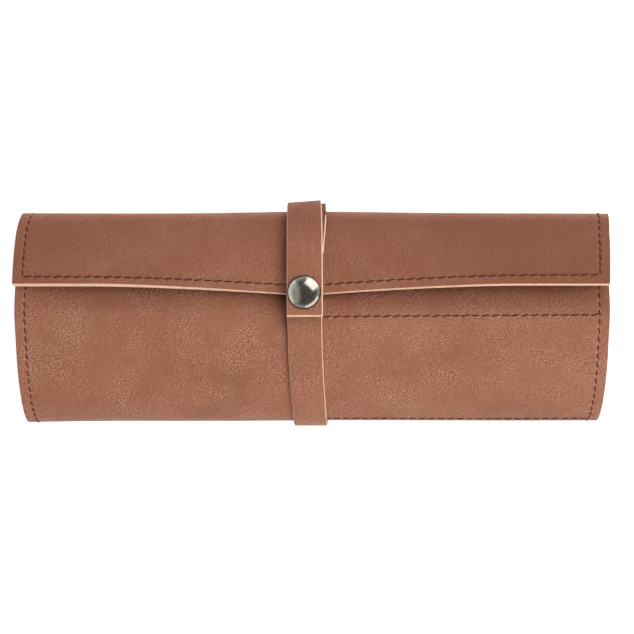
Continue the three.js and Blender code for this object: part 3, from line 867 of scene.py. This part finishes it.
# Bends: the body that moves, its hinge, and the way the piece runs across it
OVER_THE_TOP = np.array([0, -0.5, 0.866])
UP_THE_FRONT = np.array([0, 0, 1.0])
FLAP_BEND = ("flap", "flap_open", OVER_THE_TOP)
FRONT_BEND = ("front", "front_open", UP_THE_FRONT)
STRAP_END_BEND = ("strap_end_body", "strap_end_open", OVER_THE_TOP)
STRAP_TAIL_BEND = ("strap_tail_body", "strap_tail_open", UP_THE_FRONT)


def bend_with(piece, child, joint, run):
    """Bakes the piece's transform into its mesh."""
    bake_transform(piece)


# Leather and lining

def flat_grids(x_places, d_places, outer_d, outer_x_inset):
    """Grids of flat coordinates for a sheet's outer and inner faces, the outer one set in at its bevels."""
    inner_x, inner_d = np.meshgrid(x_places, d_places, indexing="ij")
    set_in = (x_places[-1] - x_places[0] - 2 * outer_x_inset) / (x_places[-1] - x_places[0])
    middle = (x_places[-1] + x_places[0]) / 2
    outer_x = middle + (inner_x - middle) * set_in
    return (outer_x, outer_d(inner_x, inner_d)), (inner_x, inner_d)


def edge_bevel(x):
    """Width of the flap's slanted cut edge, less where the strap presses it down."""
    places = [-EDGE_BEVEL_SPAN, STRAP_X, EDGE_BEVEL_SPAN]
    return np.interp(x, places, [EDGE_BEVEL_LEFT, EDGE_BEVEL_PRESSED, EDGE_BEVEL_RIGHT])


FINE_X = spaced(-HALF_LENGTH, HALF_LENGTH, coarse=1.0, lines=(-SEAM_X, SEAM_X))
FINE_UPPER = spaced(0, D_SPLIT, coarse=1.2, lines=(EDGE_SEAM_MIDDLE, EDGE_SEAM_RIGHT))
FINE_LOWER = spaced(D_SPLIT, D_END, coarse=1.2, lines=(D_FOOT, D_MOUTH))
PLAIN_X = spaced(-HALF_LENGTH, HALF_LENGTH, coarse=3.0)
PLAIN_UPPER = spaced(0, D_SPLIT, coarse=1.8)
PLAIN_LOWER = spaced(D_SPLIT, D_END, coarse=1.8)


def flap_edge_bevelled(x, d):
    return d + edge_bevel(x) * np.clip(1 - d / BEVEL_REACH, 0, 1)


def unbevelled(x, d):
    return d


def make_cover():
    for name, places, outer_d, bend, nodes in (
        ("cover_upper", FINE_UPPER, flap_edge_bevelled, FLAP_BEND, ("cover_flap",)),
        ("cover_lower", FINE_LOWER, unbevelled, FRONT_BEND, ("cover_front", "cover_body")),
    ):
        outer, inner = flat_grids(FINE_X, places, outer_d, SIDE_BEVEL)
        materials = [cover_leather, raw_edge, raw_edge]
        piece = closed_sheet(name, place_sheet, outer, inner, (0.0, LEATHER), materials, cover_marks)
        bend_with(piece, *bend)
        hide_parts(*nodes)


def make_lining():
    for name, places, bend, nodes in (
        ("lining_upper", PLAIN_UPPER, FLAP_BEND, ("lining_flap",)),
        ("lining_lower", PLAIN_LOWER, FRONT_BEND, ("lining_front", "lining_body")),
    ):
        outer, inner = flat_grids(PLAIN_X, places, unbevelled, 0.0)
        piece = closed_sheet(name, place_sheet, outer, inner, (LINING_DEPTH, LINING_INSIDE), [suede] * 3)
        bend_with(piece, *bend)
        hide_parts(*nodes)


# Inside

panel_low, panel_high = box_mm("slot_panel")
SLOT_COUNT = 6
SLOT_PUFF = 0.9
SLOT_SEAMS = ["slot_seam_%d" % (i + 1) for i in range(SLOT_COUNT + 1)]
slot_lines = [sum(corner[0] for corner in box_mm(node)) / 2 for node in SLOT_SEAMS]


def place_panel(x, y, depth):
    """The slot panel lies flat and puffs up between its sewing lines, as half waves."""
    x, y, depth = floats(x, y, depth)
    slot = (x - slot_lines[0]) / (slot_lines[-1] - slot_lines[0]) * SLOT_COUNT
    puff = SLOT_PUFF * np.abs(np.sin(np.pi * slot)) * (np.abs(slot - SLOT_COUNT / 2) < SLOT_COUNT / 2)
    return np.stack([x, y, panel_high[2] - depth + puff], axis=-1)


def make_slots():
    thickness = panel_high[2] - panel_low[2]
    x_places = spaced(panel_low[0], panel_high[0], coarse=2.0, lines=slot_lines, fine=0.6)
    y_places = spaced(panel_low[1], panel_high[1], coarse=3.0)
    grids = np.meshgrid(x_places, y_places, indexing="ij")
    panel = closed_sheet("slot_sheet", place_panel, grids, grids, (0.0, thickness), [suede] * 3)
    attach(panel, "roll")
    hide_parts("slot_panel")

    start, stop = panel_low[1] + SLOT_SEAM_INSET, panel_high[1] - SLOT_SEAM_INSET
    seams = [Seam((x, start), (x, stop), SLOT_PITCH, SLOT_SHARE) for x in slot_lines]
    sewing = stitch_rows("slot_stitches", seams, place_panel, thread)
    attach(sewing, "roll")
    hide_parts(*SLOT_SEAMS)


def make_pocket():
    depth = LINING_INSIDE + GLUE_LINE
    x_places = spaced(pocket_low[0], pocket_high[0], coarse=3.0, lines=(SEAM_X,))
    d_places = spaced(D_FOOT, D_MOUTH, coarse=1.6)
    grids = np.meshgrid(x_places, d_places, indexing="ij")
    pocket = closed_sheet("pocket_sheet", place_sheet, grids, grids, (depth, depth + LINING), [suede] * 3)
    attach(pocket, "front")
    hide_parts("tool_pocket")


# Sewing on the leather

def make_stitches():
    sides = ["seam_%s_%s" % (part, side) for part in ("body", "front") for side in ("left", "right")]
    for name, seams, bend, nodes in (
        ("stitches_upper", UPPER_SEAMS, FLAP_BEND, ["seam_flap_left", "seam_flap_right", "seam_flap_edge"]),
        ("stitches_lower", LOWER_SEAMS, FRONT_BEND, sides + ["seam_pocket_mouth", "seam_pocket_foot"]),
    ):
        sewing = stitch_rows(name, seams, place_sheet, thread)
        bend_with(sewing, *bend)
        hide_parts(*nodes)


# Strap

D_STRAP_BACK = STRAP.nearest(BACK_SPLIT_Y, 0)
D_BACKING_END = STRAP.nearest(BACKING_END_Y, end_high[2] - STRAP_THICKNESS)
D_BACKING_LOW = STRAP.nearest(strap_high[1] - BACKING_LOW_INSET, TOP_Z - BACKING_LOW_DROP)
D_BACKING_DARK = STRAP.nearest(BACKING_DARK_Y, BACKING_DARK_Z)


def strap_grids(start, stop, tip_start, tip_stop, right_bevel, pale_until):
    """Flat grids of a strap run: the outer face is set in at the cut edges, on the right as far as a given
    place, and at any free tip."""
    half = STRAP_WIDTH / 2
    inside = half - STRAP_COLUMN_INSET
    u_places = np.concatenate([[-half], np.linspace(-inside, inside, STRAP_COLUMNS), [half]])
    d_places = spaced(start, stop, STRAP_ROW_STEP)
    inner_u, inner_d = np.meshgrid(u_places, d_places, indexing="ij")
    share = (inner_u + half) / STRAP_WIDTH
    right = right_bevel * smooth((pale_until - inner_d) / STRAP_BEVEL_FADE)
    outer_u = inner_u + STRAP_BEVEL_LEFT * (1 - share) ** 4 - right * share**4
    from_start = np.clip(1 - (inner_d - start) / BEVEL_REACH, 0, 1)
    from_stop = np.clip(1 - (stop - inner_d) / BEVEL_REACH, 0, 1)
    outer_d = inner_d + tip_start * from_start - tip_stop * from_stop
    return (outer_u, outer_d), (inner_u, inner_d)


def place_backing(u, d, depth):
    """The second ply under the crown, shifted to the right where the two plies part."""
    points = place_strap(u, d, depth + STRAP_THICKNESS + GLUE_LINE)
    part = np.clip((np.asarray(d, float) - D_BACKING_END) / BACKING_PARTING, 0, 1)
    points[..., 0] += BACKING_SHIFT * part + BACKING_OFFSET
    return points


def make_strap():
    for name, place, run_of_d, bevels, grained, marks, bend, nodes in (
        ("strap_upper", place_strap, (0, D_STRAP_BACK), (STRAP_BEVEL_TIP, 0, STRAP_BEVEL_RIGHT, np.inf),
         strap_leather, strap_marks, STRAP_END_BEND, ("strap_end",)),
        ("strap_under", place_strap, (D_STRAP_BACK, STRAP.length),
         (0, STRAP_BEVEL_TIP, STRAP_BEVEL_RIGHT_LOW, np.inf),
         strap_leather, strap_marks, STRAP_TAIL_BEND, ("strap_band", "strap_tail")),
        # The second ply wears the darker leather copy, painted shade
        ("strap_backing", place_backing, (D_BACKING_END, D_BACKING_LOW),
         (BACKING_BEVEL, BACKING_BEVEL, STRAP_BEVEL_RIGHT, D_BACKING_DARK),
         ply_leather_painted_shade, None, STRAP_END_BEND, ("strap_backing_band", "strap_backing_end")),
    ):
        outer, inner = strap_grids(*run_of_d, *bevels)
        materials = [grained, raw_edge, suede]
        piece = closed_sheet(name, place, outer, inner, (0.0, STRAP_THICKNESS), materials, marks)
        bend_with(piece, *bend)
        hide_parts(*nodes)


# Snap

def rounded(corners, radius=0.12, steps=4):
    """A profile through corner points with each inner corner eased by a short curve."""
    corners = np.array(corners, float)
    profile = [corners[0]]
    for before, here, after in zip(corners[:-2], corners[1:-1], corners[2:]):
        reach = min(radius, np.hypot(*(before - here)) / 2.1, np.hypot(*(after - here)) / 2.1)
        come = here + (before - here) / np.hypot(*(before - here)) * reach
        leave = here + (after - here) / np.hypot(*(after - here)) * reach
        t = np.linspace(0, 1, steps)[:, None]
        profile.extend((1 - t) ** 2 * come + 2 * t * (1 - t) * here + t**2 * leave)
    profile.append(corners[-1])
    return profile


def cap_profile():
    """The cap: a shank, a flat underside, a rolled rim and a dome that is part of a ball. The second value
    is the kind of metal for each step."""
    base = end_high[2] + CAP_GAP
    radius = (cap_high[0] - cap_low[0]) / 2 - CAP_RIM_WIDTH
    height = cap_high[2] - base - CAP_RIM
    ball = (radius**2 + height**2) / (2 * height)
    dome_r = np.linspace(radius, 0, 28)
    dome = np.column_stack([dome_r, cap_high[2] - ball + np.sqrt(ball**2 - dome_r**2)])
    lip = arc(radius, base + CAP_RIM / 2, CAP_RIM_WIDTH, CAP_RIM / 2, -70, 80, count=12)
    under = [(0, cap_low[2]), (SHANK_RADIUS, cap_low[2]), (SHANK_RADIUS, base), (radius, base)]
    # The rolled rim takes the second finish, a painted shade line round the dome
    kinds = np.repeat([0, 1, 0], [len(under), len(lip), len(dome) - 1])
    return [*under, *lip, *dome], kinds


def socket_profile():
    """The socket: a cup open below, with a room above its mouth for the spring and the stud's head."""
    low, high = box_mm("snap_socket")
    radius = (high[0] - low[0]) / 2
    bottom, top = low[2], high[2]
    room_low, room_high = bottom + SOCKET_ROOM_LOW, bottom + SOCKET_ROOM_HIGH
    return rounded([
        (SOCKET_MOUTH, bottom), (radius - SOCKET_EDGE_WIDTH, bottom), (radius, bottom + SOCKET_EDGE_HEIGHT),
        (radius, top), (SOCKET_HOLE, top), (SOCKET_HOLE, room_high), (SOCKET_ROOM, room_high),
        (SOCKET_ROOM, room_low), (SOCKET_MOUTH, room_low), (SOCKET_MOUTH, bottom),
    ], SOCKET_EASE)


def spring_profile():
    """The ring spring: a round wire."""
    low, high = box_mm("snap_spring")
    wire = (high[2] - low[2]) / 2
    ring = (high[0] - low[0]) / 2 - wire
    return arc(ring, (low[2] + high[2]) / 2, wire, wire, 0, 360, count=17)


stud_low, stud_high = box_mm("snap_stud")
STUD_RADIUS = (stud_high[0] - stud_low[0]) / 2


def stud_profile():
    """The stud: a flange, a neck and a wider head, hollow below for the post."""
    bottom, top = stud_low[2], stud_high[2]
    return rounded([
        (0, bottom + STUD_HOLE_DEPTH), (STUD_HOLE, bottom + STUD_HOLE_DEPTH), (STUD_HOLE, bottom),
        (STUD_RADIUS, bottom), (STUD_RADIUS, bottom + STUD_FLANGE), (STUD_NECK, bottom + STUD_FLANGE),
        (STUD_HEAD, top - STUD_TOP_EASE), (STUD_TOP, top), (0, top),
    ])


def post_profile():
    """The post under the tail: a flat head and a shank."""
    low, high = box_mm("snap_post")
    bottom, top = low[2], high[2]
    return rounded([
        (0, bottom), (STUD_RADIUS - POST_EDGE, bottom), (STUD_RADIUS, bottom + POST_FLANGE),
        (SHANK_RADIUS, bottom + POST_FLANGE), (SHANK_RADIUS, top), (0, top),
    ])


def make_snap():
    cap, cap_kinds = cap_profile()
    for part, body, profile, kinds in (
        ("cap", "strap_end_body", cap, cap_kinds),
        ("socket", "strap_end_body", socket_profile(), None),
        ("spring", "strap_end_body", spring_profile(), None),
        ("stud", "strap_tail_body", stud_profile(), None),
        ("post", "strap_tail_body", post_profile(), None),
    ):
        # The cap's rim uses the second finish, painted shade
        piece = lathe("snap_turned_" + part, profile, [dark_nickel, rim_painted_shade], kinds)
        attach(piece, body)
        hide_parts("snap_" + part)


# Stage

def floor_finish():
    """Matt white floor that shows plain white to the camera, apart from the object's shadow."""
    finish = Finish("floor_white")
    finish.fix(Base_Color=(0.5, 0.5, 0.5, 1), Roughness=0.9, Specular_IOR_Level=0.1)
    path = finish.node("ShaderNodeLightPath").outputs
    seen = path["Is Camera Ray"]
    for other in ("Is Glossy Ray", "Is Transmission Ray"):
        seen = finish.node("ShaderNodeMath", [(0, seen), (1, path[other])], operation="MAXIMUM").outputs[0]
    finish.fix(Emission_Color=(1, 1, 1, 1))
    finish.link(finish.spread(seen, 0, 1, 0, FLOOR_GLOW), "Emission Strength")
    return finish.material


def make_floor():
    corners = FLOOR_HALF * np.array([(-1, -1, 0), (1, -1, 0), (1, 1, 0), (-1, 1, 0)], float)
    floor = put_mesh("floor", corners, [(0, 1, 2, 3)], [floor_finish()])


def make_world():
    """A pale studio: white walls all round, and a dim ceiling above them."""
    world = bpy.data.worlds.new("studio")
    bpy.context.scene.world = world
    world.use_nodes = True
    tree = world.node_tree
    background = tree.nodes["Background"]
    background.inputs["Color"].default_value = (1, 1, 1, 1)
    direction = tree.nodes.new("ShaderNodeTexCoord").outputs["Generated"]
    split = tree.nodes.new("ShaderNodeSeparateXYZ")
    tree.links.new(direction, split.inputs["Vector"])
    level = tree.nodes.new("ShaderNodeMapRange")
    level.interpolation_type = "SMOOTHSTEP"
    levels = {"From Min": WALL_TOP, "From Max": CEILING_START, "To Min": WALL_LEVEL, "To Max": CEILING_LEVEL}
    for socket, value in levels.items():
        level.inputs[socket].default_value = value
    tree.links.new(split.outputs["Z"], level.inputs["Value"])
    tree.links.new(level.outputs["Result"], background.inputs["Strength"])


def soft_light(name, place, size, power, lights=True, mirrored=True):
    """An area lamp at a place in millimetres, aimed at the middle of the roll. It lights the roll, shows in
    the metal, or both."""
    lamp = bpy.data.lights.new(name, "AREA")
    lamp.shape = "RECTANGLE"
    lamp.size, lamp.size_y = (side * MM for side in size)
    lamp.energy = power
    holder = bpy.data.objects.new(name, lamp)
    holder.location = np.array(place) * MM
    aim = -holder.location.normalized()
    holder.rotation_euler = aim.to_track_quat("-Z", "Y").to_euler()
    holder.visible_diffuse = lights
    holder.visible_glossy = mirrored
    bpy.context.scene.collection.objects.link(holder)


def make_lights():
    soft_light("key_lower_right", (480, -700, 1000), (900, 900), 7.0, mirrored=False)
    soft_light("softbox_above", (620, 180, 980), (900, 900), 7.3, mirrored=False)
    soft_light("rim_behind", (0, 900, 260), (1000, 260), 2.0, mirrored=False)
    soft_light("window_upper_right", (437, 521, 494), (800, 560), 4.2, lights=False)
    soft_light("panel_left_low", (-668, 60, 340), (1500, 320), 1.45, lights=False)
    soft_light("panel_left", (-514, -30, 613), (1500, 282), 0.75, lights=False)
    soft_light("panel_left_high", (-346, -30, 776), (1000, 209), 0.23, lights=False)
    soft_light("glint_lower_right", (460, -560, 330), (1000, 90), 0.85, lights=False)


def make_camera():
    camera = bpy.data.cameras.new("camera")
    camera.sensor_width = SENSOR
    camera.lens = SENSOR * CAMERA_ABOVE_FLAP / FRAME_WIDTH_AT_FLAP
    holder = bpy.data.objects.new("camera", camera)
    holder.location = np.array([CAMERA_X, CAMERA_Y, FLAP_Z + CAMERA_ABOVE_FLAP]) * MM
    bpy.context.scene.collection.objects.link(holder)
    bpy.context.scene.camera = holder


make_camera()
make_cover()
make_lining()
make_slots()
make_pocket()
make_stitches()
make_strap()
make_snap()
make_floor()
make_world()
make_lights()
bpy.context.scene.view_settings.view_transform = "Standard"
